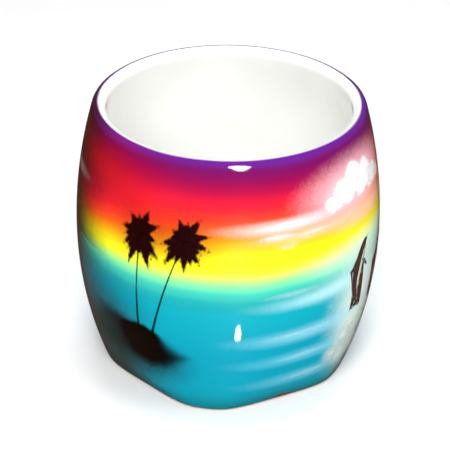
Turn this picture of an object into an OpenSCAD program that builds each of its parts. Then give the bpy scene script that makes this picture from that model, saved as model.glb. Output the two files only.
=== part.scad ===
// Shot glass: a small barrel-shaped ceramic cup on a softly five-sided foot.
// Fired clay body, white liner glaze, two sprayed colour coats that meet at the horizon,
// and thin enamel films for the island, palms, dolphins, clouds and waves.
// Angles are in degrees round the cup from its front (-Y) towards its right side (+X).

/* [Cup] */
// Height of the cup from the table to the crest of its lip
cup_h = 48; // [46:0.5:50]
// Outside radius at the widest part of the belly
belly_r = 25.8; // [25:0.1:27]
// Height of the widest part above the table
belly_z = 25.4; // [24:0.2:27]
// Radius of the side's curve below the belly
lower_curve_r = 68; // [66:1:72]
// Radius of the side's curve above the belly
upper_curve_r = 80; // [76:1:88]
// Radius of the full-round lip
lip_r = 1.2; // [1:0.05:1.4]
// Radius of the rounding between the side and the foot
heel_r = 1.4; // [1.2:0.1:1.6]

/* [Inside] */
// Inside radius at the belly
inner_belly_r = 22.4; // [22:0.1:22.8]
// Height of the inside floor above the table
floor_z = 4.6; // [4:0.1:5.5]
// Radius of the rounding between the inside wall and the floor
floor_corner_r = 9; // [7:0.5:10]

/* [Foot] */
// Outside radius of the bare ring that stands on the table
foot_ring_r = 17.8; // [17:0.1:18]
// Width of the bare ring
foot_ring_w = 2.6; // [2:0.1:3.5]
// Depth of the recess inside the ring
foot_recess = 1; // [0.6:0.1:1.5]
// Height above the table at which the colour coat stops
bare_h = 0.5; // [0.4:0.05:0.8]
// Number of soft flats pressed into the side above the foot
flat_count = 5; // [4:1:6]
// Angle round the cup of the middle of the first flat
flat_angle = 27.25; // [0:0.25:72]
// Height at which the flats run out into the round side
flat_top_z = 16.5; // [14:0.5:18]
// Radius of the flats' curve from top to bottom
flat_curve_r = 37; // [36:0.5:39]

/* [Glaze] */
// Thickness of the white liner and of the colour coats
glaze_t = 0.25; // [0.2:0.05:0.35]
// Thickness of each enamel film
film_t = 0.08; // [0.06:0.01:0.12]
// Height at which the sunset coat meets the sea coat
horizon_z = 27.4; // [26:0.2:29]

/* [Palms and island] */
// Angle round the cup of the middle of the island drawing
island_angle = -27; // [-32:0.5:-24]
// Height of the left palm's crown
left_palm_z = 34.7; // [33:0.1:36]
// Height of the right palm's crown
right_palm_z = 35.1; // [33:0.1:36]
// Width of a palm frond
frond_w = 1.15; // [0.8:0.05:1.4]
// Width of a palm trunk at its foot
trunk_w = 0.6; // [0.5:0.05:1]

/* [Dolphins and foam] */
// Angle round the cup of the middle of the dolphin drawing
dolphin_angle = 66; // [60:0.5:72]
// Sideways distance from one dolphin to the other
dolphin_gap = 8; // [7.4:0.1:9]
// Height of the leading dolphin's middle
front_dolphin_z = 22.9; // [22:0.1:24]
// Height of the following dolphin's middle
rear_dolphin_z = 20.9; // [20:0.1:22]

/* [Clouds and waves] */
// Angle round the cup of the middle of the cloud bank
cloud_bank_angle = 59; // [54:1:64]
// Height of the cloud bank's flat underside
cloud_bank_z = 37.6; // [36.5:0.1:39]
// Number of long wave streaks round the cup at each height
wave_count = 4; // [3:1:4]
// Angle round the cup from one wave streak to the next at the same height
wave_turn = 75; // [70:1:85]
// Greatest thickness of a wave streak
wave_h = 0.8; // [0.5:0.05:1]

/* [Hidden] */
$fn = 180;

far = 60;
drawing_start = 17;
lower_centre = [belly_r - lower_curve_r, belly_z];
upper_centre = [belly_r - upper_curve_r, belly_z];

// The lip's circle touches the side's upper curve from inside and the crest's height from below.
lip_z = cup_h - lip_r;
lip_x = upper_centre.x + sqrt((upper_curve_r - lip_r) ^ 2 - (lip_z - belly_z) ^ 2);
lip = [lip_x, lip_z];
lip_out = (lip - upper_centre) / norm(lip - upper_centre);

// The inside curve is the one that passes the inner belly and touches the lip's circle.
lip_step = lip_x - inner_belly_r;
inner_curve_r = (lip_step ^ 2 + (lip_z - belly_z) ^ 2 - lip_r ^ 2) / (2 * (lip_r - lip_step));
inner_centre = [inner_belly_r - inner_curve_r, belly_z];
lip_in = (inner_centre - lip) / norm(inner_centre - lip);
lip_in_z = lip.y - lip.x * lip_in.y / lip_in.x;

// The heel's circle touches the table and the side's lower curve.
heel_x = lower_centre.x + sqrt((lower_curve_r - heel_r) ^ 2 - (heel_r - belly_z) ^ 2);
heel = [heel_x, heel_r];
heel_out = (heel - lower_centre) / norm(heel - lower_centre);

// The floor's corner circle touches the inside curve and the floor.
corner_z = floor_z + floor_corner_r;
corner_x = inner_centre.x + sqrt((inner_curve_r - floor_corner_r) ^ 2 - (corner_z - belly_z) ^ 2);
corner = [corner_x, corner_z];
corner_out = (corner - inner_centre) / norm(corner - inner_centre);

// At flat_top_z a flat's curve runs along the side's lower curve and stands off it by flat_gap.
flat_gap = 0.2;
flat_slope = (flat_top_z - belly_z) / lower_curve_r;
flat_reach = lower_curve_r - flat_curve_r;
flat_centre = [lower_centre.x + flat_reach * sqrt(1 - flat_slope ^ 2) + flat_gap,
               belly_z + flat_reach * flat_slope];

// The drawings, in mm: x along the side from the middle of the drawing, y the height above the table.
left_heart = [-2.8, left_palm_z];
left_foot = [-3.4, 16.5];
// Each frond: its direction in degrees and its length.
left_fronds = [[71, 4.6], [121, 3.9], [168, 3.9], [216, 4.1], [249, 6.1],
               [287, 6.1], [315, 5], [350, 3.2], [37, 4.4]];
right_heart = [5, right_palm_z];
right_foot = [-0.8, 16];
right_fronds = [[61, 4.9], [107, 3.9], [138, 3], [190, 4.2], [232, 5.5],
                [271, 5.7], [304, 4.6], [349, 4.2], [24, 4.5]];
island_ridge = [[-9.4, 16.6], [-7.6, 16.8], [-5.2, 17.4], [-3.4, 17.8], [-1.2, 17.4],
                [0.4, 16.6], [1.6, 15.5], [2.7, 14.3], [4.6, 13.8], [6, 13]];
island_shore = [[4, 11.6], [1.5, 10.2], [-2, 9.4], [-6, 9.6], [-9, 11]];
// Each puff of cloud or foam: x, y and radius.
cloud_puffs = [[-7.2, 1.1, 1.7], [-4.6, 2.4, 2.3], [-1.4, 3.6, 2.8],
               [2.2, 2.9, 2.7], [5.4, 1.7, 2.1], [7.8, 0.8, 1.4]];
// Each cloud line: angle round the cup, height, length, thickness.
cloud_lines = [[22, 37, 13, 1], [16, 35.4, 8, 0.7], [118, 38.6, 14, 1.1], [131, 36.9, 9, 0.8],
               [188, 37.8, 16, 1.2], [202, 35.8, 10, 0.8], [244, 38.3, 13, 1]];
wave_heights = [24.9, 16.6, 11.4, 6.4];
wave_lengths = [14, 18, 15, 12];
first_wave_angle = 24;
wave_stagger = 4;
foam_puffs = [[-7.4, 9, 2.2], [-4.6, 7.6, 2.6], [-1.2, 8.4, 3], [2.6, 7.8, 2.9], [6.2, 8.8, 2.6],
              [9, 10, 2], [-5.6, 12, 2.4], [-2, 12.6, 2.6], [2, 12.2, 2.6], [5.6, 12.6, 2.4],
              [8.2, 13.6, 1.7]];

// Half-plane sections of the cup, x from the axis outwards and y upwards.
// grow moves the surface outwards, and a negative value moves it into the clay.
module side_section(grow) {
    intersection() {
        translate(lower_centre) circle(lower_curve_r + grow, $fn = 720);
        polygon([[0, 0], heel - [0, heel_r + grow], heel, heel + far * heel_out,
                 [far + heel_x, belly_z], [0, belly_z]]);
    }
    intersection() {
        translate(upper_centre) circle(upper_curve_r + grow, $fn = 720);
        polygon([[0, belly_z], [far, belly_z], lip + far * lip_out, lip, [0, lip_z]]);
    }
    translate(heel) circle(heel_r + grow);
    translate(lip) circle(lip_r + grow);
}

module hollow_section(grow) {
    intersection() {
        translate(inner_centre) circle(inner_curve_r + grow, $fn = 720);
        polygon([[0, corner.y], corner, corner + far * corner_out, [far, belly_z], lip, [0, lip_in_z]]);
    }
    translate(corner) circle(floor_corner_r + grow);
    translate([0, floor_z - grow]) square([corner.x, floor_corner_r + grow]);
    difference() {
        polygon([[0, lip_in_z], lip, [lip.x, cup_h + lip_r], [0, cup_h + lip_r]]);
        translate(lip) circle(lip_r - grow);
    }
}

// What one flat takes off the round side, at the front of the cup.
module flat_cut(grow) {
    difference() {
        translate([-far / 2, -far, -far / 2]) cube([far, far, far / 2 + flat_top_z + 2]);
        translate([0, -flat_centre.x, flat_centre.y])
            rotate([0, 90, 0]) cylinder(h = 2 * far, r = flat_curve_r + grow, center = true, $fn = 360);
    }
}

// Everything inside the outer surface, with its flats.
module outer_solid(grow) {
    difference() {
        rotate_extrude() side_section(grow);
        for (i = [0 : flat_count - 1]) {
            rotate([0, 0, flat_angle + i * 360 / flat_count]) flat_cut(grow);
        }
    }
}

// A colour coat: the outer skin between two heights, up to the crest of the lip.
module coat(low_z, high_z) {
    difference() {
        outer_solid(0);
        outer_solid(-glaze_t);
        translate([0, 0, low_z - far]) cylinder(h = far, r = far);
        translate([0, 0, high_z]) cylinder(h = far, r = far);
        translate([0, 0, lip_z - lip_r]) cylinder(h = far, r = lip_x);
    }
}

// The thin skin that every enamel film is cut from.
module enamel_skin() {
    difference() {
        outer_solid(film_t);
        outer_solid(0);
    }
}

// A flat drawing in mm, x along the side and y upwards, pushed out through the side at an angle.
module drawn_at(angle) {
    rotate([0, 0, angle]) rotate([90, 0, 0]) translate([0, 0, drawing_start]) linear_extrude(far) children();
}

// One drawing as an enamel film on the coat.
module film(angle) {
    intersection() {
        enamel_skin();
        drawn_at(angle) children();
    }
}

// A pointed leaf, as two equal arcs: length along x, width across it.
module leaf(length, width) {
    arc_r = (length ^ 2 + width ^ 2) / (4 * width);
    intersection() {
        translate([0, arc_r - width / 2]) circle(arc_r, $fn = 360);
        translate([0, width / 2 - arc_r]) circle(arc_r, $fn = 360);
    }
}

// A long streak that thins out to both ends: length along x, width across it.
module streak(length, width) {
    upper = [for (t = [-1 : 0.25 : 1]) [t * length / 2, (1 - t ^ 2) * width / 2]];
    lower = [for (t = [0.75 : -0.25 : -0.75]) [t * length / 2, (t ^ 2 - 1) * width / 2]];
    polygon(concat(upper, lower));
}

// A palm crown: a frond for each [direction in degrees, length] round a small heart.
module crown(fronds) {
    circle(frond_w * 0.95);
    for (f = fronds) {
        rotate(f[0]) translate([f[1] / 2 - 0.1, 0]) leaf(f[1], frond_w);
    }
}

// A trunk that tapers from its foot to its top.
module trunk(foot, top) {
    across = [foot.y - top.y, top.x - foot.x] / norm(top - foot) * trunk_w;
    polygon([foot - across / 2, foot + across / 2, top + across / 3, top - across / 3]);
}

module left_crown() {
    translate(left_heart) crown(left_fronds);
}

module right_crown() {
    translate(right_heart) crown(right_fronds);
}

module island_drawing() {
    polygon(concat(island_ridge, island_shore));
}

// A leaping dolphin about its middle, nose up and tail down, its back towards -x.
module dolphin() {
    difference() {
        translate([4, -0.2]) circle(6.3);
        translate([15.6, -1.6]) circle(14.6);
    }
    polygon([[1, 5], [3.1, 6.5], [2.2, 4.4]]);
    polygon([[-0.6, 3.6], [-3.3, 2.4], [-1.4, 0.8]]);
    polygon([[0.2, 3], [2.9, 1], [0.2, 1.2]]);
    polygon([[0.2, -4.2], [-0.6, -6.6], [1.1, -5.9], [3, -6.4], [1.2, -4.2]]);
}

module front_dolphin() {
    translate([-dolphin_gap / 2, front_dolphin_z]) dolphin();
}

module rear_dolphin() {
    translate([dolphin_gap / 2, rear_dolphin_z]) rotate(-14) scale(0.9) dolphin();
}

module ceramic_body() {
    color("linen") difference() {
        union() {
            outer_solid(-glaze_t);
            cylinder(h = floor_z / 2, r = foot_ring_r);
        }
        rotate_extrude() hollow_section(glaze_t);
        translate([0, 0, -foot_recess]) cylinder(h = 2 * foot_recess, r = foot_ring_r - foot_ring_w);
    }
}

module inner_glaze() {
    color("white") rotate_extrude() difference() {
        hollow_section(glaze_t);
        hollow_section(0);
    }
}

module sunset_coat() {
    color("orangered") coat(horizon_z, far);
}

module sea_coat() {
    color("darkturquoise") coat(bare_h, horizon_z);
}

module island() {
    color("black") film(island_angle) island_drawing();
}

module palm_left_trunk() {
    color("darkslategray") film(island_angle) difference() {
        trunk(left_foot, left_heart);
        left_crown();
        island_drawing();
    }
}

module palm_left_crown() {
    color("maroon") film(island_angle) left_crown();
}

module palm_right_trunk() {
    color("darkslategray") film(island_angle) difference() {
        trunk(right_foot, right_heart);
        right_crown();
        island_drawing();
    }
}

module palm_right_crown() {
    color("maroon") film(island_angle) right_crown();
}

module dolphin_front() {
    color("saddlebrown") film(dolphin_angle) front_dolphin();
}

module dolphin_rear() {
    color("saddlebrown") film(dolphin_angle) rear_dolphin();
}

// A flat-bottomed heap of round puffs.
module cloud_bank() {
    color("white") film(cloud_bank_angle) intersection() {
        for (p = cloud_puffs) {
            translate([p[0], cloud_bank_z + p[1]]) circle(p[2]);
        }
        translate([-far / 2, cloud_bank_z]) square(far);
    }
}

// Long thin streaks of cloud under the bank and round the back.
module cloud_streaks() {
    color("white") intersection() {
        enamel_skin();
        for (c = cloud_lines) {
            drawn_at(c[0]) translate([0, c[1]]) streak(c[2], c[3]);
        }
    }
}

// Long thin crests, staggered from one height to the next.
module wave_streaks() {
    color("azure") intersection() {
        enamel_skin();
        for (row = [0 : len(wave_heights) - 1], i = [0 : wave_count - 1]) {
            drawn_at(first_wave_angle + row * wave_stagger + i * wave_turn)
                translate([0, wave_heights[row]]) streak(wave_lengths[row], wave_h);
        }
    }
}

// Spray and foam under and around the dolphins, cut out round them.
module splash_foam() {
    color("azure") film(dolphin_angle) difference() {
        for (p = foam_puffs) {
            translate([p[0], p[1]]) circle(p[2]);
        }
        front_dolphin();
        rear_dolphin();
    }
}

ceramic_body();
inner_glaze();
sunset_coat();
sea_coat();
island();
palm_left_trunk();
palm_left_crown();
palm_right_trunk();
palm_right_crown();
dolphin_front();
dolphin_rear();
cloud_bank();
cloud_streaks();
wave_streaks();
splash_foam();
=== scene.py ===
import math
import bmesh
import bpy
from mathutils import Matrix, Vector


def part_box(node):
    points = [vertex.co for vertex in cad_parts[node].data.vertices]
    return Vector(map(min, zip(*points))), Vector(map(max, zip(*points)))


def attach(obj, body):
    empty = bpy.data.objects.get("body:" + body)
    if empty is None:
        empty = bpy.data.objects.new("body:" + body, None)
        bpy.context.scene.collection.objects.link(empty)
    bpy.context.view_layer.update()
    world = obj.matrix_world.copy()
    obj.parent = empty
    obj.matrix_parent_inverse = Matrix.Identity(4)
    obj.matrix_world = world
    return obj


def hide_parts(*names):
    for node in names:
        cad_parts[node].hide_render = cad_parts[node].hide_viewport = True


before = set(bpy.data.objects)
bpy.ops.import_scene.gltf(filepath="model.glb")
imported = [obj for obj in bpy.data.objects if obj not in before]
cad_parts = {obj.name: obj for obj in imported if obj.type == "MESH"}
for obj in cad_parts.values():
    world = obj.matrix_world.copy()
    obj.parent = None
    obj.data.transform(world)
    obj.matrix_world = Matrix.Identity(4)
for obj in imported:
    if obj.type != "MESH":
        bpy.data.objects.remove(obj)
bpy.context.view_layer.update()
mm = 0.001
weld = 0.0005               # mm, points nearer than this are one

# Everything is shaped in millimetres about the cup's axis and scaled to metres when a piece is finished.
# Angles run in degrees round the cup from its front, -Y, towards its right, +X.
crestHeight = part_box("inner_glaze")[1][2] / mm
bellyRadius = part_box("sea_coat")[1][0] / mm
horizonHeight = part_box("sea_coat")[1][2] / mm
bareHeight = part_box("sea_coat")[0][2] / mm

cup = {
    "bellyHeight": 25.4,
    "lowerCurve": 68,
    "upperCurve": 80,
    "lipRadius": 1.2,
    "heelRadius": 1.4,
    "innerBelly": 22.4,
    "floorHeight": 4.6,
    "floorCorner": 9,
    "footRadius": 17.8,
    "footWidth": 2.6,
    "footEdge": 0.35,
    "recess": 1,
    "recessCorner": 1,      # where the recess starts to turn down, in from the foot ring
    "recessFillet": 0.6,
    "heelStart": 0.4,       # share of the bare height at which the side begins
    "glaze": 0.25,
    "clearance": 0.02,      # keeps the clay's skin just under the coats
    "segments": 320,        # round the cup
    "spacing": 0.6,         # along the section
}
flats = {
    "count": 5,
    "angle": 27.25,
    "top": 16.5,
    "curve": 37,
    "gap": 0.2,
    "fade": 4,              # above and below the top, where the rounding dies away
    "softness": 1.6,        # how far a corner between flat and side is rounded
    "depth": 1.3,           # only points nearer than this to the side are moved
    "footMargin": 0.1,      # and not the ones this near the foot ring
}


def along(centre, point):
    return math.atan2(point[1] - centre[1], point[0] - centre[0])


def solveSection():
    c = cup
    belly = c["bellyHeight"]
    lower = (bellyRadius - c["lowerCurve"], belly)
    upper = (bellyRadius - c["upperCurve"], belly)
    lipZ = crestHeight - c["lipRadius"]
    lipX = upper[0] + math.sqrt((c["upperCurve"] - c["lipRadius"]) ** 2 - (lipZ - belly) ** 2)
    lipStep = lipX - c["innerBelly"]
    innerCurve = lipStep ** 2 + (lipZ - belly) ** 2 - c["lipRadius"] ** 2
    innerCurve /= 2 * (c["lipRadius"] - lipStep)
    inner = (c["innerBelly"] - innerCurve, belly)
    heelX = lower[0] + math.sqrt((c["lowerCurve"] - c["heelRadius"]) ** 2 - (c["heelRadius"] - belly) ** 2)
    cornerZ = c["floorHeight"] + c["floorCorner"]
    cornerX = inner[0] + math.sqrt((innerCurve - c["floorCorner"]) ** 2 - (cornerZ - belly) ** 2)
    slope = (flats["top"] - belly) / c["lowerCurve"]
    reach = c["lowerCurve"] - flats["curve"]
    return {
        "lower": lower, "upper": upper, "inner": inner, "innerCurve": innerCurve,
        "lip": (lipX, lipZ), "heel": (heelX, c["heelRadius"]), "corner": (cornerX, cornerZ),
        "flat": (lower[0] + reach * math.sqrt(1 - slope ** 2) + flats["gap"], belly + reach * slope),
    }


section = solveSection()
heelTurn = along(section["lower"], section["heel"])
lipTurn = along(section["upper"], section["lip"])
lipInTurn = along(section["inner"], section["lip"])
cornerTurn = along(section["inner"], section["corner"])


def sideRadius(z):
    # radius of the round side at a height, before the flats
    lipX, lipZ = section["lip"]
    if z > lipZ + cup["lipRadius"] * math.sin(lipTurn):
        return lipX + math.sqrt(max(cup["lipRadius"] ** 2 - (z - lipZ) ** 2, 0))
    if z > cup["bellyHeight"]:
        return section["upper"][0] + math.sqrt(cup["upperCurve"] ** 2 - (z - cup["bellyHeight"]) ** 2)
    heelX, heelZ = section["heel"]
    if z > heelZ + cup["heelRadius"] * math.sin(heelTurn):
        return section["lower"][0] + math.sqrt(cup["lowerCurve"] ** 2 - (z - cup["bellyHeight"]) ** 2)
    return heelX + math.sqrt(max(cup["heelRadius"] ** 2 - (z - heelZ) ** 2, 0))


def pressedIn(turn, z):
    # how far a flat takes the surface in, at an angle in degrees and a height
    if z > flats["top"] + flats["fade"]:
        return 0
    step = 360 / flats["count"]
    away = math.radians((turn - flats["angle"] + step / 2) % step - step / 2)
    flatX, flatZ = section["flat"]
    wall = (flatX + math.sqrt(flats["curve"] ** 2 - (z - flatZ) ** 2)) / math.cos(away)
    side = section["lower"][0] + math.sqrt(cup["lowerCurve"] ** 2 - (z - cup["bellyHeight"]) ** 2)
    # the corner is rounded with a smooth minimum of the side and the wall
    soft = flats["softness"]
    blend = max(soft - abs(side - wall), 0) / soft
    fade = min(max((flats["top"] + flats["fade"] - z) / (2 * flats["fade"]), 0), 1)
    return side - min(side, wall) + blend ** 2 * soft / 4 * fade


def surfacePoint(turn, z, lift=0):
    reach = sideRadius(z) - pressedIn(turn, z) + lift
    a = math.radians(turn)
    return Vector((reach * math.sin(a), -reach * math.cos(a), z))


def addArc(bm, last, centre, radius, start, end):
    # carries the section on from its last vertex along an arc; the angles are in radians
    first = Vector((centre[0] + radius * math.cos(start), 0, centre[1] + radius * math.sin(start)))
    if last is None:
        last = bm.verts.new(first)
    elif (last.co - first).length > weld:
        last = addLine(bm, last, first)
    steps = max(2, math.ceil(abs(end - start) * radius / cup["spacing"]))
    made = bmesh.ops.spin(bm, geom=[last], cent=(centre[0], 0, centre[1]), axis=(0, -1, 0),
                          angle=end - start, steps=steps, use_duplicate=False)
    return [g for g in made["geom_last"] if isinstance(g, bmesh.types.BMVert)][0]


def addLine(bm, last, end):
    steps = max(1, math.ceil((end - last.co).length / (2 * cup["spacing"])))
    stride = (end - last.co) / steps
    for i in range(steps):
        made = bmesh.ops.extrude_vert_indiv(bm, verts=[last])["verts"][0]
        made.co = last.co + stride
        last = made
    return last


def revolve(bm):
    bmesh.ops.spin(bm, geom=bm.verts[:] + bm.edges[:], cent=(0, 0, 0), axis=(0, 0, 1), dvec=(0, 0, 0),
                   angle=2 * math.pi, steps=cup["segments"], use_merge=True, use_duplicate=False)
    bmesh.ops.remove_doubles(bm, verts=bm.verts, dist=weld)
    bmesh.ops.recalc_face_normals(bm, faces=bm.faces)


def pressFlats(bm):
    # moves the outer skin in at the flats; under the heel the move dies away before the foot ring
    for v in bm.verts:
        reach = math.hypot(v.co.x, v.co.y)
        z = max(v.co.z, 0)
        if reach < cup["footRadius"] + flats["footMargin"] or sideRadius(z) - reach > flats["depth"]:
            continue
        share = 1
        if z < cup["heelRadius"]:
            side = sideRadius(cup["heelRadius"]) - cup["heelRadius"]
            share = min(1, (reach - cup["footRadius"]) / (side - cup["footRadius"]))
        turn = math.degrees(math.atan2(v.co.x, -v.co.y))
        shrink = 1 - pressedIn(turn, z) * share / reach
        v.co.x *= shrink
        v.co.y *= shrink


def makePiece(bm, name, material, node, sharp=40):
    bmesh.ops.scale(bm, vec=(mm, mm, mm), verts=bm.verts)
    for e in bm.edges:
        e.smooth = len(e.link_faces) != 2 or e.calc_face_angle(0) < math.radians(sharp)
    for f in bm.faces:
        f.smooth = True
    mesh = bpy.data.meshes.new(name)
    bm.to_mesh(mesh)
    bm.free()
    piece = bpy.data.objects.new(name, mesh)
    bpy.context.scene.collection.objects.link(piece)
    mesh.materials.append(material)
    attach(piece, "root")
    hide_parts(node)
    print("made", name, len(mesh.vertices), "vertices")


def addSide(bm, last, inset, low, high):
    # the outer side from one height up to another, moved in by inset
    heelLow = math.asin((min(low, section["heel"][1]) - section["heel"][1]) / cup["heelRadius"])
    belly = cup["bellyHeight"]
    if low < section["heel"][1] + cup["heelRadius"] * math.sin(heelTurn):
        last = addArc(bm, last, section["heel"], cup["heelRadius"] - inset, heelLow, heelTurn)
        start = heelTurn
    else:
        start = math.asin((low - belly) / cup["lowerCurve"])
    if low < belly:
        end = min(0, math.asin((min(high, belly) - belly) / cup["lowerCurve"]))
        last = addArc(bm, last, section["lower"], cup["lowerCurve"] - inset, start, end)
    if high > belly:
        start = max(0, math.asin((max(low, belly) - belly) / cup["upperCurve"]))
        end = lipTurn if high >= crestHeight else math.asin((high - belly) / cup["upperCurve"])
        last = addArc(bm, last, section["upper"], cup["upperCurve"] - inset, start, end)
    if high >= crestHeight:
        last = addArc(bm, last, section["lip"], cup["lipRadius"] - inset, lipTurn, math.pi / 2)
    return last


def addBack(bm, last, addCurve, *values):
    # carries the section on along a curve's points, from the curve's end to its start
    curve = bmesh.new()
    addCurve(curve, None, *values)
    points = [v.co.copy() for v in curve.verts]
    curve.free()
    for point in reversed(points):
        last = bmesh.ops.extrude_vert_indiv(bm, verts=[last])["verts"][0]
        last.co = point
    return last


def buildCoat(name, low, high, material, node):
    # a sprayed coat: its face outside, and its back on the clay
    bm = bmesh.new()
    last = addSide(bm, None, 0, low, high)
    last = addBack(bm, last, addSide, cup["glaze"], low, high)
    bm.verts.ensure_lookup_table()
    bm.edges.new((last, bm.verts[0]))
    revolve(bm)
    pressFlats(bm)
    makePiece(bm, name, material, node)


def addHollow(bm, last, grow):
    # the inside from the middle of the floor up to the crest, grow moves it into the clay
    floor = cup["floorHeight"] - grow
    if last is None:
        last = bm.verts.new((0, 0, floor))
    else:
        last = addLine(bm, last, Vector((0, 0, floor)))
    last = addLine(bm, last, Vector((section["corner"][0], 0, floor)))
    last = addArc(bm, last, section["corner"], cup["floorCorner"] + grow, -math.pi / 2, cornerTurn)
    last = addArc(bm, last, section["inner"], section["innerCurve"] + grow, cornerTurn, lipInTurn)
    return addArc(bm, last, section["lip"], cup["lipRadius"] - grow, lipInTurn + math.pi, math.pi / 2)


def buildLiner(material):
    bm = bmesh.new()
    last = addHollow(bm, None, 0)
    addBack(bm, last, addHollow, cup["glaze"])
    revolve(bm)
    makePiece(bm, "linerGlaze", material, "inner_glaze")


def buildClay(material):
    bm = bmesh.new()
    skin = cup["glaze"] + cup["clearance"]
    ring = cup["footRadius"]
    inside = ring - cup["footWidth"]
    edge = cup["footEdge"]
    corner = inside - cup["recessCorner"]
    fillet = cup["recessFillet"]
    recessTurn, ringTurn = 0.3, -0.2        # radians at which the arcs beside the ring stop
    # underside: recess, rounded foot ring, then the outside up to the crest and down the inside
    last = bm.verts.new((0, 0, cup["recess"]))
    last = addLine(bm, last, Vector((corner, 0, cup["recess"])))
    last = addArc(bm, last, (corner, cup["recess"] - fillet), fillet, math.pi / 2, recessTurn)
    last = addArc(bm, last, (inside + edge, edge), edge, -math.pi, -math.pi / 2)
    last = addArc(bm, last, (ring - edge, edge), edge, -math.pi / 2, ringTurn)
    last = addSide(bm, last, skin, bareHeight * cup["heelStart"], crestHeight)
    addBack(bm, last, addHollow, skin)
    revolve(bm)
    pressFlats(bm)
    makePiece(bm, "clayBody", material, "ceramic_body")


def addNode(tree, kind, inputs=None, **settings):
    node = tree.nodes.new(kind)
    for key, value in settings.items():
        setattr(node, key, value)
    for key, value in (inputs or {}).items():
        if isinstance(value, bpy.types.NodeSocket):
            tree.links.new(value, node.inputs[key])
        else:
            node.inputs[key].default_value = value
    return node


def calc(tree, operation, a, b=0.0, c=0.0):
    return addNode(tree, "ShaderNodeMath", {0: a, 1: b, 2: c}, operation=operation).outputs[0]


def distance(tree, x, y):
    squares = calc(tree, "ADD", calc(tree, "MULTIPLY", x, x), calc(tree, "MULTIPLY", y, y))
    return calc(tree, "SQRT", squares)


def noise(tree, position, scale, detail=2.0, roughness=0.5):
    node = addNode(tree, "ShaderNodeTexNoise", {"Vector": position, "Scale": scale, "Detail": detail,
                                                "Roughness": roughness})
    return node.outputs[0]


def cellDistance(tree, position, scale):
    return addNode(tree, "ShaderNodeTexVoronoi", {"Vector": position, "Scale": scale}).outputs[0]


def ease(tree, value, low, high, toLow=0.0, toHigh=1.0):
    node = addNode(tree, "ShaderNodeMapRange", {"Value": value, "From Min": low, "From Max": high,
                                                "To Min": toLow, "To Max": toHigh},
                   interpolation_type="SMOOTHSTEP")
    return node.outputs[0]


def blendColour(tree, factor, a, b):
    node = addNode(tree, "ShaderNodeMix", {0: factor, 6: a, 7: b}, data_type="RGBA")
    return node.outputs[2]


def linear(rgb):
    # screen colour, 0 to 255, to a shader colour
    return [((c / 255 + 0.055) / 1.055) ** 2.4 if c > 10 else c / 255 / 12.92 for c in rgb] + [1.0]


def newGroup(name, inputs, outputs):
    tree = bpy.data.node_groups.new(name, "ShaderNodeTree")
    for label, kind, value in inputs:
        socket = tree.interface.new_socket(name=label, in_out="INPUT", socket_type="NodeSocket" + kind)
        if value is not None:
            socket.default_value = value
    for label, kind in outputs:
        tree.interface.new_socket(name=label, in_out="OUTPUT", socket_type="NodeSocket" + kind)
    return tree, tree.nodes.new("NodeGroupInput").outputs, tree.nodes.new("NodeGroupOutput")


def useGroup(tree, group, inputs):
    node = addNode(tree, "ShaderNodeGroup", node_tree=group)
    for key, value in inputs.items():
        if isinstance(value, bpy.types.NodeSocket):
            tree.links.new(value, node.inputs[key])
        else:
            node.inputs[key].default_value = value
    return node.outputs


glazeLook = {
    "ior": 1.5,
    "coatIor": 1.4,
    "coatRoughness": 0.03,
    "specular": 0.15,
    "waveScale": 140,
    "pebbleScale": 1500,
    "pebble": 0.25,
    "bump": 0.04,
    "roughness": (0.05, 0.13),
    "streakScale": 320,
    "streakiness": (0.35, 0.75),
    "pitScale": 260,
    "pitSize": (0.03, 0.055),
    "rareScale": 180,
    "pitRarity": (0.62, 0.68),
    "pitRoughness": 0.3,
    "pitShade": 0.5,
    "pitColour": (60, 40, 30),
}
dropletLook = {
    "fineScale": 4200,
    "broadScale": 900,
    "fineShare": 0.6,
}
noiseMiddle = (0.3, 0.7)    # the part of a noise's range that is spread out to 0 and 1


def makeCupPlace():
    # where on the cup a point lies: angle in degrees, height and radius in mm
    tree, given, out = newGroup("cupPlace", [("Position", "Vector", None)],
                                [("Angle", "Float"), ("Height", "Float"), ("Radius", "Float")])
    xyz = addNode(tree, "ShaderNodeSeparateXYZ", {0: given["Position"]}).outputs
    front = calc(tree, "MULTIPLY", xyz[1], -1.0)
    turn = calc(tree, "DEGREES", calc(tree, "ARCTAN2", xyz[0], front))
    reach = distance(tree, xyz[0], xyz[1])
    tree.links.new(turn, out.inputs["Angle"])
    tree.links.new(calc(tree, "DIVIDE", xyz[2], mm), out.inputs["Height"])
    tree.links.new(calc(tree, "DIVIDE", reach, mm), out.inputs["Radius"])
    return tree


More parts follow.
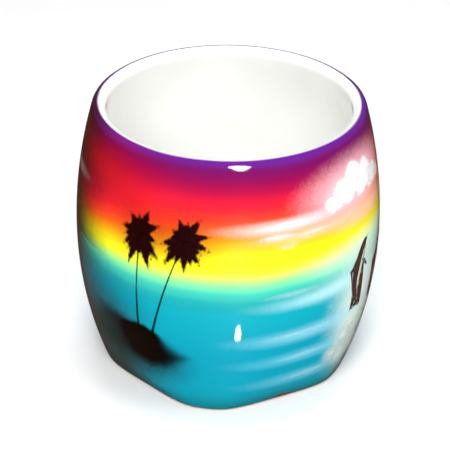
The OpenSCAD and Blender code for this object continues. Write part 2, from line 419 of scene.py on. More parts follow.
def makeSprayStroke():
    # one pass of the airbrush: a soft oval, with its edge broken up into droplets
    tree, given, out = newGroup(
        "sprayStroke",
        [("Angle", "Float", 0.0), ("Height", "Float", 0.0), ("Droplets", "Float", 0.5),
         ("Centre Angle", "Float", 0.0), ("Centre Height", "Float", 0.0),
         ("Half Length", "Float", 5.0), ("Half Width", "Float", 2.0), ("Tilt", "Float", 0.0),
         ("Softness", "Float", 0.6), ("Grain", "Float", 0.14)],
        [("Mask", "Float")])
    away = calc(tree, "WRAP", calc(tree, "SUBTRACT", given["Angle"], given["Centre Angle"]), 180.0, -180.0)
    x = calc(tree, "MULTIPLY", away, math.radians(1) * bellyRadius)
    z = calc(tree, "SUBTRACT", given["Height"], given["Centre Height"])
    z = calc(tree, "SUBTRACT", z, calc(tree, "MULTIPLY", x, given["Tilt"]))
    x = calc(tree, "DIVIDE", x, given["Half Length"])
    z = calc(tree, "DIVIDE", z, given["Half Width"])
    reach = distance(tree, x, z)
    broken = calc(tree, "MULTIPLY", calc(tree, "SUBTRACT", given["Droplets"], 0.5), given["Grain"])
    reach = calc(tree, "ADD", reach, broken)
    edge = addNode(tree, "ShaderNodeMapRange", {"Value": reach, "To Min": 1.0, "To Max": 0.0},
                   interpolation_type="SMOOTHSTEP")
    tree.links.new(calc(tree, "SUBTRACT", 1.0, given["Softness"]), edge.inputs["From Min"])
    tree.links.new(calc(tree, "ADD", 1.0, given["Softness"]), edge.inputs["From Max"])
    tree.links.new(edge.outputs[0], out.inputs["Mask"])
    return tree


def makeGlazeSkin():
    # the gloss of a fired glaze: slow waves, a fine pebble, a few pinholes
    look = glazeLook
    tree, given, out = newGroup(
        "glazeSkin",
        [("Position", "Vector", None), ("Waves", "Float", 0.5), ("Pinholes", "Float", 0.5)],
        [("Height", "Float"), ("Roughness", "Float"), ("Pits", "Float")])
    position = given["Position"]
    waves = calc(tree, "MULTIPLY", noise(tree, position, look["waveScale"], 1), given["Waves"])
    pebble = calc(tree, "MULTIPLY", noise(tree, position, look["pebbleScale"], 1), look["pebble"])
    pits = ease(tree, cellDistance(tree, position, look["pitScale"]), *look["pitSize"], 1, 0)
    rare = ease(tree, noise(tree, position, look["rareScale"], 0), *look["pitRarity"])
    pits = calc(tree, "MULTIPLY", calc(tree, "MULTIPLY", pits, rare), given["Pinholes"])
    height = calc(tree, "SUBTRACT", calc(tree, "ADD", waves, pebble), pits)
    rough = noise(tree, position, look["streakScale"], 3)
    rough = ease(tree, rough, *look["streakiness"], *look["roughness"])
    tree.links.new(height, out.inputs["Height"])
    rough = calc(tree, "ADD", rough, calc(tree, "MULTIPLY", pits, look["pitRoughness"]))
    tree.links.new(rough, out.inputs["Roughness"])
    tree.links.new(pits, out.inputs["Pits"])
    return tree


def makeDroplets():
    # fine overspray: grains at two sizes, 0 to 1
    tree, given, out = newGroup("droplets", [("Position", "Vector", None)], [("Grain", "Float")])
    share = dropletLook["fineShare"]
    fine = noise(tree, given["Position"], dropletLook["fineScale"], 1, 0.7)
    broad = noise(tree, given["Position"], dropletLook["broadScale"], 2, 0.6)
    grain = calc(tree, "ADD", calc(tree, "MULTIPLY", fine, share), calc(tree, "MULTIPLY", broad, 1 - share))
    tree.links.new(ease(tree, grain, *noiseMiddle), out.inputs["Grain"])
    return tree


cupPlace = makeCupPlace()
sprayStroke = makeSprayStroke()
glazeSkin = makeGlazeSkin()
droplets = makeDroplets()


def startMaterial(name, coat=1.0):
    material = bpy.data.materials.new(name)
    material.use_nodes = True
    tree = material.node_tree
    shader = tree.nodes["Principled BSDF"]
    shader.inputs["Coat Weight"].default_value = coat
    shader.inputs["Coat Roughness"].default_value = glazeLook["coatRoughness"]
    shader.inputs["IOR"].default_value = glazeLook["ior"]
    shader.inputs["Coat IOR"].default_value = glazeLook["coatIor"]
    shader.inputs["Specular IOR Level"].default_value = glazeLook["specular"]
    position = addNode(tree, "ShaderNodeTexCoord").outputs["Object"]
    return material, tree, shader, position


def addBump(tree, shader, height, strength, depth):
    bump = addNode(tree, "ShaderNodeBump", {"Height": height, "Strength": strength, "Distance": depth * mm})
    tree.links.new(bump.outputs[0], shader.inputs["Normal"])


def finishGlaze(tree, shader, position, colour, waves=0.5, pinholes=0.5, alpha=None):
    skin = useGroup(tree, glazeSkin, {"Position": position, "Waves": waves, "Pinholes": pinholes})
    pits = calc(tree, "MULTIPLY", skin["Pits"], glazeLook["pitShade"])
    pitted = blendColour(tree, pits, colour, linear(glazeLook["pitColour"]))
    tree.links.new(pitted, shader.inputs["Base Color"])
    tree.links.new(skin["Roughness"], shader.inputs["Roughness"])
    addBump(tree, shader, skin["Height"], glazeLook["bump"], 1)
    if alpha is not None:
        tree.links.new(alpha, shader.inputs["Alpha"])


def bands(tree, height, stops):
    # colours by height in mm, as [height, colour]
    low, high = stops[0][0], stops[-1][0]
    share = addNode(tree, "ShaderNodeMapRange", {"Value": height, "From Min": low, "From Max": high})
    ramp = addNode(tree, "ShaderNodeValToRGB", {0: share.outputs[0]})
    ramp.color_ramp.interpolation = "CARDINAL"
    points = ramp.color_ramp.elements
    for i, (z, rgb) in enumerate(stops):
        at = (z - low) / (high - low)
        point = points[i] if i < 2 else points.new(at)
        point.position = at
        point.color = linear(rgb)
    return ramp.outputs[0]


# both coats share one fade from the foot to the lip: [height, colour]
skyAndSea = [
    [0.5, (0, 118, 130)], [4, (0, 146, 166)], [12, (0, 144, 168)], [18, (4, 150, 170)], [22, (8, 156, 172)],
    [23.6, (22, 156, 164)], [25, (44, 170, 164)], [26.6, (84, 198, 166)], [28, (150, 228, 140)],
    [29.4, (214, 244, 80)], [30.6, (244, 242, 40)], [32.2, (248, 226, 30)], [34, (248, 190, 22)],
    [35.4, (248, 156, 18)], [36.8, (248, 112, 22)], [38.4, (248, 74, 34)], [40, (242, 44, 44)],
    [41.4, (218, 28, 52)], [42.8, (178, 20, 60)], [44.2, (148, 14, 68)], [45.6, (122, 14, 80)],
    [46.8, (106, 18, 94)], [48, (92, 30, 132)],
]
coatLook = {
    "sag": 5.5,             # how far the yellow comes down on the left side
    "sagFull": 36,          # height up to which the sag grows
    "rise": 3,              # how far the red goes up there
    "riseBand": (37, 44),   # heights between which the sag turns into the rise
    "violetFrom": 45,       # height from which the rise dies away again
    "wanderScale": 60,
    "grain": 0.12,          # mm that the droplets move a band
    "thinBand": (0.4, 0.1),     # mm under the crest between which the colour thins out
    "thinReach": 0.3,
    "thinWander": 0.5,
    "thinShare": 0.7,
    "thinColour": (214, 196, 228),
}
# strokes: colour, strength, centre angle, centre height, half length, half width, tilt, softness
# the first two lie across the horizon, so both coats carry them
paleHorizon = [(228, 246, 236), 0.7, 68, 28.4, 12, 2.2, 0, 0.9]
# painted shade and reflection down the cup's left side, across the horizon
paintedShadeAcrossHorizon = [(46, 38, 12), 0.95, -84, 27, 10, 6, 0, 0.9]
sunsetLook = {
    "wander": 0.7,          # mm that the bands wave up and down
    "strokes": [
        [(150, 4, 12), 0.5, -52, 43, 9, 5, 0, 0.8],
        # painted shade and reflection down the cup's left side, over the sky
        [(58, 4, 2), 0.95, -84, 38, 10, 24, 0, 0.8],
        [(96, 8, 6), 0.4, -33, 35, 5.2, 4.4, 0, 0.6],
        [(110, 12, 8), 0.35, -15.8, 35.6, 5, 4.4, 0, 0.6],
        [(255, 226, 226), 0.7, 24, 37.4, 9, 1, 0.03, 0.8],
        [(255, 225, 200), 0.4, 33, 35.4, 8, 0.9, 0.03, 0.9],
        [(255, 208, 216), 0.75, 58, 40, 11, 4.4, 0, 0.6],
        [(255, 205, 190), 0.6, 66, 34.4, 8, 1.2, 0, 0.9],
        [(255, 225, 190), 0.35, 131, 36.9, 8, 0.9, 0, 0.8],
        [(255, 215, 205), 0.5, 188, 37.8, 10, 1.1, 0, 0.8],
        [(255, 215, 205), 0.5, -97, 38.3, 9, 1, 0, 0.8],
        paleHorizon,
        paintedShadeAcrossHorizon,
    ],
}
seaLook = {
    "wander": 0.6,
    "strokes": [
        [(0, 84, 104), 0.65, -56, 19, 9, 5.5, 0, 0.8],
        [(44, 56, 44), 0.9, -58, 8, 9, 10, 0, 0.7],
        paintedShadeAcrossHorizon,
        # painted shade and reflection down the cup's left side, over the sea
        [(96, 74, 60), 0.8, -88, 12, 9, 13, 0, 0.9],
        [(18, 28, 20), 0.9, -40, 11.2, 9, 4.4, -0.12, 0.7],
        [(8, 14, 10), 0.9, -44, 15.6, 5, 2, -0.1, 0.8],
        [(5, 4, 2), 0.95, -32.5, 12.6, 5.4, 3.2, -0.12, 0.6],
        # painted reflection of a brown table, low by the foot
        [(110, 66, 38), 0.9, 29, 0.9, 1.9, 0.8, 0, 0.5],
        paleHorizon,
        [(228, 244, 232), 0.95, 66, 17, 8.4, 10, 0, 0.6],
        [(196, 238, 230), 0.5, 50, 24, 7, 1.8, 0.03, 0.9],
        [(190, 232, 240), 0.5, 38, 23.4, 9, 1, 0.03, 0.9],
        [(150, 214, 232), 0.5, 36, 16.6, 11, 1.2, 0.03, 0.9],
        [(120, 205, 225), 0.45, 34, 11.6, 10, 1.1, 0.03, 0.9],
        [(130, 205, 225), 0.45, 38, 6.4, 10, 1.2, 0.02, 0.9],
        [(196, 206, 190), 0.8, 68, 8, 7, 5, 0, 0.8],
        [(170, 225, 240), 0.5, 118, 16.8, 8, 1, 0, 0.8],
        [(170, 225, 240), 0.5, 122, 11.4, 9, 1, 0, 0.8],
        [(190, 235, 240), 0.5, 205, 16.8, 10, 1, 0, 0.8],
        [(170, 225, 240), 0.5, 212, 11.4, 8, 1, 0, 0.8],
        [(190, 235, 240), 0.5, -112, 20, 8, 0.9, 0, 0.8],
    ],
}


def coatMaterial(name, look):
    material, tree, shader, position = startMaterial(name)
    place = useGroup(tree, cupPlace, {"Position": position})
    grain = useGroup(tree, droplets, {"Position": position})["Grain"]
    wander = calc(tree, "SUBTRACT", noise(tree, position, coatLook["wanderScale"], 2), 0.5)
    drift = calc(tree, "MULTIPLY_ADD", wander, look["wander"] * 2, place["Height"])
    drift = calc(tree, "MULTIPLY_ADD", calc(tree, "SUBTRACT", grain, 0.5), coatLook["grain"], drift)
    across = calc(tree, "SINE", calc(tree, "RADIANS", place["Angle"]))
    left = calc(tree, "MAXIMUM", calc(tree, "MULTIPLY", across, -1.0), 0.0)
    # on the left the red spreads both ways: the yellow comes down, and the violet stays near the lip
    sag, rise = coatLook["sag"], coatLook["rise"]
    sky = ease(tree, place["Height"], horizonHeight, coatLook["sagFull"], 0, sag)
    sky = calc(tree, "SUBTRACT", sky, ease(tree, place["Height"], *coatLook["riseBand"], 0, sag + rise))
    sky = calc(tree, "ADD", sky, ease(tree, place["Height"], coatLook["violetFrom"], crestHeight, 0, rise))
    drift = calc(tree, "MULTIPLY_ADD", calc(tree, "MULTIPLY", left, left), sky, drift)
    colour = bands(tree, drift, skyAndSea)
    for tint, strength, angle, height, length, width, tilt, softness in look["strokes"]:
        mask = useGroup(tree, sprayStroke, {
            "Angle": place["Angle"], "Height": place["Height"], "Droplets": grain,
            "Centre Angle": angle, "Centre Height": height, "Half Length": length, "Half Width": width,
            "Tilt": tilt, "Softness": softness})["Mask"]
        colour = blendColour(tree, calc(tree, "MULTIPLY", mask, strength), colour, linear(tint))
    # the colour thins out over the crest of the lip, and the white under it shows
    low, high = [crestHeight - depth for depth in coatLook["thinBand"]]
    crest = ease(tree, place["Height"], low, high)
    reach = calc(tree, "MULTIPLY_ADD", wander, coatLook["thinWander"], place["Radius"])
    lip = section["lip"][0]
    inward = ease(tree, reach, lip, lip + coatLook["thinReach"], coatLook["thinShare"], 0)
    thin = calc(tree, "MULTIPLY", crest, inward)
    colour = blendColour(tree, thin, colour, linear(coatLook["thinColour"]))
    finishGlaze(tree, shader, position, colour)
    return material


linerLook = {
    "colours": [(244, 244, 241), (238, 238, 235)],
    "cloudScale": 90,
    "waves": 0.6,
    "pinholes": 0.35,
}
clayLook = {
    "colours": [(214, 196, 170), (196, 174, 146)],
    "cloudScale": 160,
    "sandScale": 2600,
    "sandBump": 0.5,
    "sandDepth": 0.15,
    "roughness": (0.7, 0.92),
    "speckColour": (120, 88, 62),
    "speckScale": 900,
    "speckSize": (0.08, 0.14),
    "rareScale": 700,
    "speckRarity": (0.55, 0.62),
}


def cloudyColour(tree, position, look):
    cloud = noise(tree, position, look["cloudScale"], 3)
    light, dark = look["colours"]
    return blendColour(tree, ease(tree, cloud, *noiseMiddle), linear(light), linear(dark))


def linerMaterial():
    material, tree, shader, position = startMaterial("linerWhite")
    colour = cloudyColour(tree, position, linerLook)
    finishGlaze(tree, shader, position, colour, linerLook["waves"], linerLook["pinholes"])
    return material


def clayMaterial():
    material, tree, shader, position = startMaterial("firedClay", coat=0.0)
    look = clayLook
    sand = noise(tree, position, look["sandScale"], 3, 0.7)
    colour = cloudyColour(tree, position, look)
    specks = ease(tree, cellDistance(tree, position, look["speckScale"]), *look["speckSize"], 1, 0)
    rare = ease(tree, noise(tree, position, look["rareScale"], 0), *look["speckRarity"])
    colour = blendColour(tree, calc(tree, "MULTIPLY", specks, rare), colour, linear(look["speckColour"]))
    tree.links.new(colour, shader.inputs["Base Color"])
    tree.links.new(ease(tree, sand, *noiseMiddle, *look["roughness"]), shader.inputs["Roughness"])
    addBump(tree, shader, sand, look["sandBump"], look["sandDepth"])
    return material


print("shaders ready")
buildClay(clayMaterial())
buildLiner(linerMaterial())
buildCoat("sunsetCoat", horizonHeight, crestHeight,
          coatMaterial("sunsetSpray", sunsetLook), "sunset_coat")
buildCoat("seaCoat", bareHeight, horizonHeight,
          coatMaterial("seaSpray", seaLook), "sea_coat")
print("cup and coats built")


# Enamel films are flat drawings in mm, x along the side and z upwards, wrapped on the coats.
film = {
    "cell": 0.5,            # the drawing is cut into cells this wide, so that it can bend
    "thickness": 0.05,
    "rim": 0.15,            # share of the thickness at its edge
    "shoulder": 0.25,       # width over which the film thins out to its edge
    "bedded": 0.03,         # how far its back lies in the coat
    "step": 0.003,          # a later stroke lies this much higher
    "layers": 8,            # after this many steps the next stroke starts low again
    "sharp": 60,
    "discPoints": 14,       # points per mm of a disc's radius
    "streakPoints": 14,
    "streakTip": 0.015,     # half the width of a streak at its ends
}


def smoothOutline(points, steps):
    # a closed curve through the points
    count = len(points)
    curve = []
    for i in range(count):
        a, b, c, d = (Vector(points[(i + k) % count]) for k in (-1, 0, 1, 2))
        for k in range(steps):
            t = k / steps
            curve.append(b + (c - a) * t / 2 + (a - b * 2.5 + c * 2 - d / 2) * t * t
                         + (b * 1.5 - a / 2 - c * 1.5 + d / 2) * t ** 3)
    return curve


def disc(x, z, radius, wobble):
    # a blot with a wavy edge
    count = max(10, int(radius * film["discPoints"]))
    points = []
    for i in range(count):
        a = 2 * math.pi * i / count
        reach = radius * (1 + wobble * math.sin(3 * a + x * 7) + wobble * math.sin(5 * a + z * 5) / 2)
        points.append(Vector((x + reach * math.cos(a), z + reach * math.sin(a))))
    return points


def streak(x, z, length, width, bow, rise):
    # a line that thins out to both ends, bowed upwards and rising to the right
    count = film["streakPoints"]
    upper, lower = [], []
    for i in range(count + 1):
        t = 2 * i / count - 1
        middle = z + bow * (1 - t * t) + rise * t
        half = width / 2 * (1 - t * t) + film["streakTip"]
        upper.append(Vector((x + t * length / 2, middle + half)))
        lower.append(Vector((x + t * length / 2, middle - half)))
    return upper + lower[::-1]


def edgeDistance(point, outline):
    best = 1e9
    for i in range(len(outline)):
        a, b = outline[i - 1], outline[i]
        side = b - a
        share = max(0, min(1, (point - a).dot(side) / max(side.length_squared, 1e-9)))
        best = min(best, (point - a - side * share).length)
    return best


def drawStroke(bm, outline, turn, order, tone):
    # one closed solid: a flat face cut into cells, thickened and wrapped on the side
    sheet = bmesh.new()
    edgeLayer = sheet.verts.layers.float.new("edge")
    toneLayer = sheet.verts.layers.float.new("tone")
    sheet.faces.new([sheet.verts.new((p.x, 0, p.y)) for p in outline])
    bmesh.ops.triangulate(sheet, faces=sheet.faces[:])
    for axis in (0, 2):
        low = min(v.co[axis] for v in sheet.verts)
        high = max(v.co[axis] for v in sheet.verts)
        cuts = int((high - low) / film["cell"])
        for k in range(cuts):
            place = Vector((0, 0, 0))
            place[axis] = low + (k + 0.5) * (high - low) / cuts
            normal = Vector((0, 0, 0))
            normal[axis] = 1
            whole = sheet.verts[:] + sheet.edges[:] + sheet.faces[:]
            bmesh.ops.bisect_plane(sheet, geom=whole, dist=weld, plane_co=place, plane_no=normal)
    # an inner edge from rim to rim gets a middle point, so that the edge distance peaks inside
    inner = [e for e in sheet.edges if len(e.link_faces) == 2 and all(v.is_boundary for v in e.verts)]
    bmesh.ops.subdivide_edges(sheet, edges=inner, cuts=1)
    bmesh.ops.triangulate(sheet, faces=sheet.faces[:])
    for v in sheet.verts:
        v[edgeLayer] = edgeDistance(Vector((v.co.x, v.co.z)), outline)
        v[toneLayer] = tone
    made = bmesh.ops.extrude_face_region(sheet, geom=sheet.faces[:])["geom"]
    tops = {g for g in made if isinstance(g, bmesh.types.BMVert)}
    for v in sheet.verts:
        share = min(v[edgeLayer] / film["shoulder"], 1)
        domed = film["rim"] + (1 - film["rim"]) * math.sin(share * math.pi / 2)
        lift = film["thickness"] * domed + order * film["step"]
        away = math.degrees(math.asin(v.co.x / sideRadius(v.co.z)))
        v.co = surfacePoint(turn + away, v.co.z, lift if v in tops else -film["bedded"])
    bmesh.ops.recalc_face_normals(sheet, faces=sheet.faces[:])
    mesh = bpy.data.meshes.new("stroke")
    sheet.to_mesh(mesh)
    sheet.free()
    bm.from_mesh(mesh)
    bpy.data.meshes.remove(mesh)


def buildFilm(name, strokes, material, node):
    # strokes: (angle round the cup, outline, tone)
    bm = bmesh.new()
    bm.verts.layers.float.new("edge")
    bm.verts.layers.float.new("tone")
    for order, (turn, outline, tone) in enumerate(strokes):
        drawStroke(bm, outline, turn, order % film["layers"], tone)
    makePiece(bm, name, material, node, film["sharp"])


enamelLook = {
    "unevenScale": 500,
    "unevenBand": (0.35, 0.7),
    "unevenShare": 0.35,
    "paler": (1.1, 4),      # the paler patches: times the first, plus the second
}


def enamel(name, colour, toneColour, opacity, softness, ragged, softHeights=None):
    # softHeights: between these two heights the softness changes to the last number
    material, tree, shader, position = startMaterial(name)
    edge = addNode(tree, "ShaderNodeAttribute", attribute_name="edge").outputs["Fac"]
    tone = addNode(tree, "ShaderNodeAttribute", attribute_name="tone").outputs["Fac"]
    grain = useGroup(tree, droplets, {"Position": position})["Grain"]
    place = useGroup(tree, cupPlace, {"Position": position})
    uneven = ease(tree, noise(tree, position, enamelLook["unevenScale"], 2), *enamelLook["unevenBand"])
    times, plus = enamelLook["paler"]
    shade = blendColour(tree, calc(tree, "MULTIPLY", uneven, enamelLook["unevenShare"]), linear(colour),
                        linear([min(255, c * times + plus) for c in colour]))
    paint = blendColour(tree, tone, shade, linear(toneColour))
    broken = calc(tree, "MULTIPLY_ADD", calc(tree, "SUBTRACT", grain, 0.5), softness * ragged, edge)
    soft = softness
    if softHeights:
        soft = ease(tree, place["Height"], softHeights[0], softHeights[1], softness, softHeights[2])
    share = addNode(tree, "ShaderNodeMapRange", {"Value": broken, "From Max": soft, "To Max": opacity},
                    interpolation_type="SMOOTHSTEP").outputs[0]
    finishGlaze(tree, shader, position, paint, alpha=share)
    return material


islandLook = {
    "turn": -27,
    "leftHeart": (-2.8, 34.7),
    "leftFoot": (-3.4, 16.6),
    # fronds: direction in degrees, length
    "leftFronds": [(71, 4.6), (121, 3.9), (168, 3.9), (216, 4.1), (249, 6.1), (287, 6.1), (315, 5),
                   (350, 3.4), (37, 4.4), (96, 3.2), (192, 3.4), (232, 4.2), (268, 4.4), (301, 4.6)],
    "rightHeart": (5, 35.1),
    "rightFoot": (-0.8, 16.2),
    "rightFronds": [(61, 4.9), (107, 3.9), (138, 3), (190, 4.2), (232, 5.5), (271, 5.7), (304, 4.6),
                    (349, 4.2), (24, 4.5), (84, 3.4), (327, 3.4), (212, 3.8), (251, 4.4), (287, 4.4)],
    "heartRadius": 2.3,
    "heartWobble": 0.12,
    "trunkWidth": 0.5,
    "ridge": [(-7.6, 16.4), (-7.2, 16.9), (-6, 17.3), (-5, 17.4), (-4.2, 17.9), (-3.2, 17.7),
              (-2.2, 17.8), (-1.2, 17.3), (-0.3, 17.1), (0.6, 16.4), (1.4, 15.7), (2.2, 14.7), (3.2, 14.3),
              (4.6, 13.9), (6, 13.5)],
    "shore": [(7, 12.6), (4.6, 10.6), (1.5, 8.7), (-2, 7.9), (-6, 8.6), (-7.8, 10.6), (-8.4, 13),
              (-8.2, 15)],
}
frondLook = {
    "width": 2.1,
    "teeth": 7,
    "notch": 0.78,          # the width between two teeth, as a share
    "sweep": 0.07,          # how far a tooth leans towards the tip
    "droop": 0.16,
    "widest": 0.65,         # powers that place the widest part and fill the outline out
    "fullness": 0.7,
    "tip": 1.06,
    "tipDroop": 1.12,
    "root": 0.2,
}
trunkLook = {
    "steps": 24,
    "top": 0.97,            # it stops this far along the way to the heart
    "bend": 0.9,
    "knot": 0.06,
    "slim": 0.72,
    "swell": 0.5,
}


def frond(heart, direction, length):
    # a drooping leaf with its leaflets as teeth along both sides
    look = frondLook
    a = math.radians(direction)
    forward = Vector((math.cos(a), math.sin(a)))
    across = Vector((-forward.y, forward.x))
    droop = length * look["droop"] * abs(forward.x)
    points = 2 * look["teeth"]
    sides = []
    for side in (1, -1):
        edge = []
        for i in range(1, points):
            t = i / points
            tooth = 1 if i % 2 else look["notch"]
            half = look["width"] / 2 * math.sin(math.pi * t ** look["widest"]) ** look["fullness"] * tooth
            reach = t + (look["sweep"] if i % 2 else 0)
            spine = Vector(heart) + forward * length * reach - Vector((0, droop * reach * reach))
            edge.append(spine + across * half * side)
        sides.append(edge)
    tip = Vector(heart) + forward * length * look["tip"] - Vector((0, droop * look["tipDroop"]))
    return [Vector(heart) - forward * look["root"]] + sides[0] + [tip] + sides[1][::-1]


def palmCrown(heart, fronds):
    turn = islandLook["turn"]
    strokes = [(turn, disc(heart[0], heart[1], islandLook["heartRadius"], islandLook["heartWobble"]), 0)]
    for direction, length in fronds:
        strokes.append((turn, frond(heart, direction, length), 0))
    return strokes


def palmTrunk(foot, heart):
    # leans and bends a little, and swells at its foot
    look = trunkLook
    foot, heart = Vector(foot), Vector(heart)
    across = Vector((foot.y - heart.y, heart.x - foot.x)).normalized() * islandLook["trunkWidth"] / 2
    left, right = [], []
    for i in range(look["steps"] + 1):
        t = i / look["steps"] * look["top"]
        middle = foot.lerp(heart, t) + across * look["bend"] * math.sin(math.pi * t)
        knot = 1 + look["knot"] * (i % 2)
        half = across * knot * (look["slim"] + look["swell"] * (1 - t) ** 3)
        left.append(middle + half)
        right.append(middle - half)
    return [(islandLook["turn"], left + right[::-1], 0)]


def islandHump():
    outline = [Vector(p) for p in islandLook["ridge"] + islandLook["shore"]]
    return [(islandLook["turn"], outline, 0)]


frondEnamel = enamel("frondEnamel", (26, 0, 2), (60, 10, 5), opacity=1.0, softness=0.42, ragged=0.12)
trunkEnamel = enamel("trunkEnamel", (4, 40, 40), (0, 40, 40), opacity=0.85, softness=0.14, ragged=0.2)
islandEnamel = enamel("islandEnamel", (3, 1, 0), (40, 30, 10), opacity=0.98, softness=0.9, ragged=0.15,
                      softHeights=(16.4, 12.4, 3.6))
buildFilm("islandFilm", islandHump(), islandEnamel, "island")
for side in ("left", "right"):
    buildFilm(side + "TrunkFilm", palmTrunk(islandLook[side + "Foot"], islandLook[side + "Heart"]),
              trunkEnamel, "palm_" + side + "_trunk")
for side in ("left", "right"):
    buildFilm(side + "CrownFilm", palmCrown(islandLook[side + "Heart"], islandLook[side + "Fronds"]),
              frondEnamel, "palm_" + side + "_crown")
print("island and palms painted")


dolphinLook = {
    "turn": 66,
    "front": (-4, 22.9, 0, 1),      # x, height, tilt in degrees, scale
    "rear": (4, 20.9, -14, 0.9),
    "body": [(3.3, 6.8), (2.4, 6.5), (1.7, 6.45), (0.9, 6), (0, 5.1), (-0.8, 3.9), (-1.3, 3), (-2.9, 1.7),
             (-1.8, 1.5), (-1.95, 0.2), (-1.9, -1.2), (-1.5, -2.8), (-0.8, -4.2), (-0.2, -5.2), (-1.4, -6.6),
             (0.4, -6.2), (2.2, -7), (0.7, -5.2), (0.4, -4.2), (0.3, -2.8), (0.55, -1.2), (0.95, 0.2),
             (1.35, 1.8), (1.75, 3.2), (2.1, 4.3), (2.3, 5.2), (2.7, 5.9)],
    "belly": [(2.5, 5.7), (1.7, 5.2), (1, 4.2), (0.4, 2.9), (-0.1, 1.3), (-0.5, -0.4), (-0.4, -2.2),
              (0, -3.6), (0.35, -3.4), (0.25, -2.4), (0.45, -1), (0.8, 0.4), (1.2, 1.9), (1.6, 3.3),
              (1.95, 4.4), (2.2, 5.2)],
    "flipper": [(0.9, 3.3), (1.9, 2.6), (2.9, 1.3), (3.2, 0.5), (2.2, 1.1), (1.3, 1.9), (0.6, 2.6)],
    "tones": {"body": 0, "belly": 1, "flipper": 0.15},      # 1 is the pale enamel
    "smoothing": 3,
}


def placed(points, where):
    x, z, tilt, scale = where
    turned = Matrix.Rotation(math.radians(tilt), 2)
    return [Vector((x, z)) + turned @ p * scale for p in points]


def dolphin(where):
    strokes = []
    for shape, tone in dolphinLook["tones"].items():
        outline = smoothOutline(dolphinLook[shape], dolphinLook["smoothing"])
        strokes.append((dolphinLook["turn"], placed(outline, where), tone))
    return strokes


dolphinEnamel = enamel("dolphinEnamel", (62, 44, 40), (206, 206, 186), opacity=1.0, softness=0.2, ragged=0.2)
buildFilm("frontDolphinFilm", dolphin(dolphinLook["front"]), dolphinEnamel,
          "dolphin_front")
buildFilm("rearDolphinFilm", dolphin(dolphinLook["rear"]), dolphinEnamel,
          "dolphin_rear")
print("dolphins painted")


skyLook = {
    "bank": 59,
    "base": 37.6,
    # puffs: x, height over the base, radius
    "puffs": [(-7.2, 1.1, 1.7), (-4.6, 2.4, 2.3), (-1.4, 3.6, 2.8), (2.2, 2.9, 2.7), (5.4, 1.7, 2.1),
              (7.8, 0.8, 1.4), (-3.2, 1.2, 1.6), (0.4, 1.3, 1.8), (3.8, 1, 1.5), (-5.8, 0.6, 1.1)],
    "puffGrowth": 1.12,
    "puffWobble": 0.04,
    # lines: angle, height, length, width
    "lines": [(25, 37.2, 16, 2), (18, 35.4, 9, 1.8), (118, 38.6, 14, 1.1), (131, 36.9, 9, 0.8),
              (188, 37.8, 16, 1.2), (202, 35.8, 10, 0.8), (244, 38.3, 13, 1)],
    # brush: place in lengths, step up in widths, length and width as shares, bow, rise, tone
    "brush": [(0, 0, 1, 1, 0.3, 0.15, 0), (0.2, -0.9, 0.6, 0.8, 0.1, 0.1, 0.3)],
}
seaWork = {
    "heights": [24.9, 16.6, 11.4, 6.4],
    "lengths": [14, 18, 15, 12],
    "width": 1.7,
    "first": 24,
    "stagger": 4,
    "count": 4,
    "turn": 75,
    # brush: as for the sky, but the step up is in mm
    "brush": [(0, 0, 1, 1, 0.25, 0.3, 0), (0.15, -0.9, 0.7, 0.6, 0.2, 0.25, 0.4),
              (0.3, 0.7, 0.4, 0.45, 0.1, 0.15, 0.2)],
    # foam: x, height, radius
    "foam": [(-7.4, 9, 2.2), (-4.6, 7.6, 2.6), (-1.2, 8.4, 3), (2.6, 7.8, 2.9), (6.2, 8.8, 2.6), (9, 10, 2),
             (-5.6, 12, 2.4), (-2, 12.6, 2.6), (2, 12.2, 2.6), (5.6, 12.6, 2.4), (8.2, 13.6, 1.7)],
    "foamGrowth": 1.25,
    "foamWobble": 0.05,
    "drops": 46,
    "dropTurn": 2.4,            # radians, the golden angle
    "dropHeight": 17,
    "dropFrom": 3,
    "dropReach": 9,
    "dropSpread": (0.95, 0.75),
    "dropRadius": (0.14, 0.16),     # the least, and how much more
    "dropRhythm": 1.7,
    "dropWobble": 0.1,
    "dropTone": 0.1,
}


def brushed(turn, z, length, width, brush, unit):
    # one touch of the brush is a few streaks side by side, unit is the step up's in mm
    strokes = []
    for place, step, long, wide, bow, rise, tone in brush:
        line = streak(length * place, z + step * unit, length * long, width * wide, bow, rise)
        strokes.append((turn, line, tone))
    return strokes


def cloudBank():
    strokes = []
    for x, z, radius in skyLook["puffs"]:
        puff = disc(x, skyLook["base"] + z, radius * skyLook["puffGrowth"], skyLook["puffWobble"])
        strokes.append((skyLook["bank"], puff, 0))
    return strokes


def cloudLines():
    strokes = []
    for turn, z, length, width in skyLook["lines"]:
        strokes += brushed(turn, z, length, width, skyLook["brush"], width)
    return strokes


def waveLines():
    strokes = []
    for row, z in enumerate(seaWork["heights"]):
        for i in range(seaWork["count"]):
            turn = seaWork["first"] + row * seaWork["stagger"] + i * seaWork["turn"]
            strokes += brushed(turn, z, seaWork["lengths"][row], seaWork["width"], seaWork["brush"], 1)
    return strokes


def splashFoam():
    look = seaWork
    turn = dolphinLook["turn"]
    strokes = []
    for x, z, radius in look["foam"]:
        strokes.append((turn, disc(x, z, radius * look["foamGrowth"], look["foamWobble"]), 0))
    for i in range(look["drops"]):
        # flung drops: a golden-angle spiral about the top of the foam
        a = i * look["dropTurn"]
        reach = look["dropFrom"] + look["dropReach"] * math.sqrt((i + 0.5) / look["drops"])
        x = reach * look["dropSpread"][0] * math.cos(a)
        z = look["dropHeight"] + reach * look["dropSpread"][1] * math.sin(a)
        radius = look["dropRadius"][0] + look["dropRadius"][1] * abs(math.sin(i * look["dropRhythm"]))
        strokes.append((turn, disc(x, z, radius, look["dropWobble"]), look["dropTone"]))
    return strokes


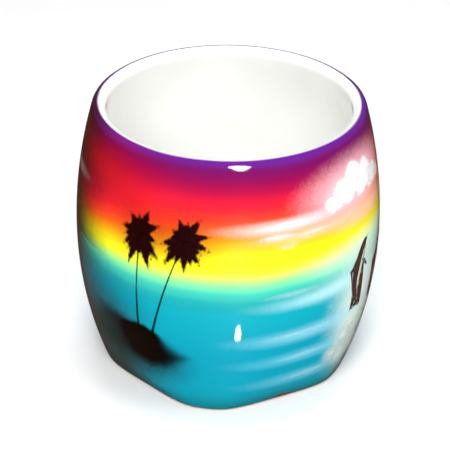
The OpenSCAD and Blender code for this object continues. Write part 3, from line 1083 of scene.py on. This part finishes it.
cloudEnamel = enamel("cloudEnamel", (255, 252, 252), (255, 214, 200),
                     opacity=0.9, softness=1.1, ragged=0.2)
streakEnamel = enamel("streakEnamel", (255, 234, 232), (255, 215, 190),
                      opacity=0.62, softness=0.85, ragged=0.06)
waveEnamel = enamel("waveEnamel", (176, 226, 240), (110, 205, 226),
                    opacity=0.42, softness=0.85, ragged=0.06)
foamEnamel = enamel("foamEnamel", (232, 246, 236), (225, 245, 240),
                    opacity=0.55, softness=2.6, ragged=0.15)
buildFilm("cloudBankFilm", cloudBank(), cloudEnamel, "cloud_bank")
buildFilm("cloudLineFilm", cloudLines(), streakEnamel, "cloud_streaks")
buildFilm("waveFilm", waveLines(), waveEnamel, "wave_streaks")
buildFilm("foamFilm", splashFoam(), foamEnamel, "splash_foam")
print("clouds, waves and foam painted")


stageLook = {
    "floor": (250, 250, 250),
    "table": (64, 38, 22),
    "floorSize": 3,
    "floorRoughness": 0.6,
    "worldSeen": (236, 236, 238),
    "worldStrength": 0.42,
    "mirroredStrength": 0.08,
    "cameraDistance": 316.8,    # mm from the aim point
    "cameraPitch": 29.8,
    "cameraRoll": 0.8,
    "aimHeight": 24,
    "lens": 147.9,
    "shift": (-0.0064, 0.002),
}
# lights: place, aim and size in mm, then the power
softboxes = {
    "keySoftbox": ((-40, -360, 330), (0, 0, 25), (240, 200), 2.1),
    "fillSoftbox": ((330, -160, 260), (0, 0, 25), (240, 240), 0.5),
    "topSoftbox": ((0, 40, 520), (0, 0, 25), (220, 220), 1.2),
}
# the glaze mirrors these, and nothing is lit by them
cards = {
    "flashCard": ((50, -320, 235), (0, 0, 40), (100, 320), 2.2),
    "lowCard": ((4.7, -42, 1.5), (2, -25.3, 17.5), (2.6, 6), 0.0009),
}


def makeFloor():
    bm = bmesh.new()
    bmesh.ops.create_grid(bm, x_segments=2, y_segments=2, size=stageLook["floorSize"])
    mesh = bpy.data.meshes.new("floor")
    bm.to_mesh(mesh)
    bm.free()
    floor = bpy.data.objects.new("floor", mesh)
    bpy.context.scene.collection.objects.link(floor)
    material = bpy.data.materials.new("paleFloor")
    material.use_nodes = True
    tree = material.node_tree
    shader = tree.nodes["Principled BSDF"]
    # the cup mirrors a darker table than the floor that is seen
    glossy = addNode(tree, "ShaderNodeLightPath").outputs["Is Glossy Ray"]
    shade = blendColour(tree, glossy, linear(stageLook["floor"]), linear(stageLook["table"]))
    tree.links.new(shade, shader.inputs["Base Color"])
    shader.inputs["Roughness"].default_value = stageLook["floorRoughness"]
    mesh.materials.append(material)


def addLight(name, place, aim, size, power, mirrored):
    light = bpy.data.lights.new(name, "AREA")
    light.shape = "ELLIPSE" if mirrored else "RECTANGLE"
    light.size, light.size_y = size[0] * mm, size[1] * mm
    light.energy = power
    lamp = bpy.data.objects.new(name, light)
    bpy.context.scene.collection.objects.link(lamp)
    lamp.location = Vector(place) * mm
    lamp.rotation_euler = (Vector(aim) * mm - lamp.location).to_track_quat("-Z", "Y").to_euler()
    lamp.visible_camera = False
    lamp.visible_glossy = mirrored
    lamp.visible_diffuse = not mirrored


def makeWorld():
    world = bpy.data.worlds.new("studio")
    bpy.context.scene.world = world
    world.use_nodes = True
    tree = world.node_tree
    back = tree.nodes["Background"]
    back.inputs["Color"].default_value = linear(stageLook["worldSeen"])
    glossy = addNode(tree, "ShaderNodeLightPath").outputs["Is Glossy Ray"]
    strength = addNode(tree, "ShaderNodeMapRange", {"Value": glossy, "To Min": stageLook["worldStrength"],
                                                    "To Max": stageLook["mirroredStrength"]}).outputs[0]
    tree.links.new(strength, back.inputs["Strength"])


def makeCamera():
    camera = bpy.data.objects.new("camera", bpy.data.cameras.new("camera"))
    bpy.context.scene.collection.objects.link(camera)
    pitch = math.radians(stageLook["cameraPitch"])
    aim = Vector((0, 0, stageLook["aimHeight"]))
    back = Vector((0, -math.cos(pitch), math.sin(pitch))) * stageLook["cameraDistance"]
    roll = math.radians(stageLook["cameraRoll"])
    turn = Matrix.Rotation(math.pi / 2 - pitch, 4, "X") @ Matrix.Rotation(roll, 4, "Z")
    camera.matrix_world = Matrix.Translation((aim + back) * mm) @ turn
    camera.data.lens = stageLook["lens"]
    camera.data.sensor_width = 36
    camera.data.shift_x, camera.data.shift_y = stageLook["shift"]
    camera.data.clip_start = 0.01
    bpy.context.scene.camera = camera


makeFloor()
makeWorld()
for name, values in softboxes.items():
    addLight(name, *values, mirrored=False)
for name, values in cards.items():
    addLight(name, *values, mirrored=True)
makeCamera()
bpy.context.scene.view_settings.view_transform = "Standard"
print("stage set")
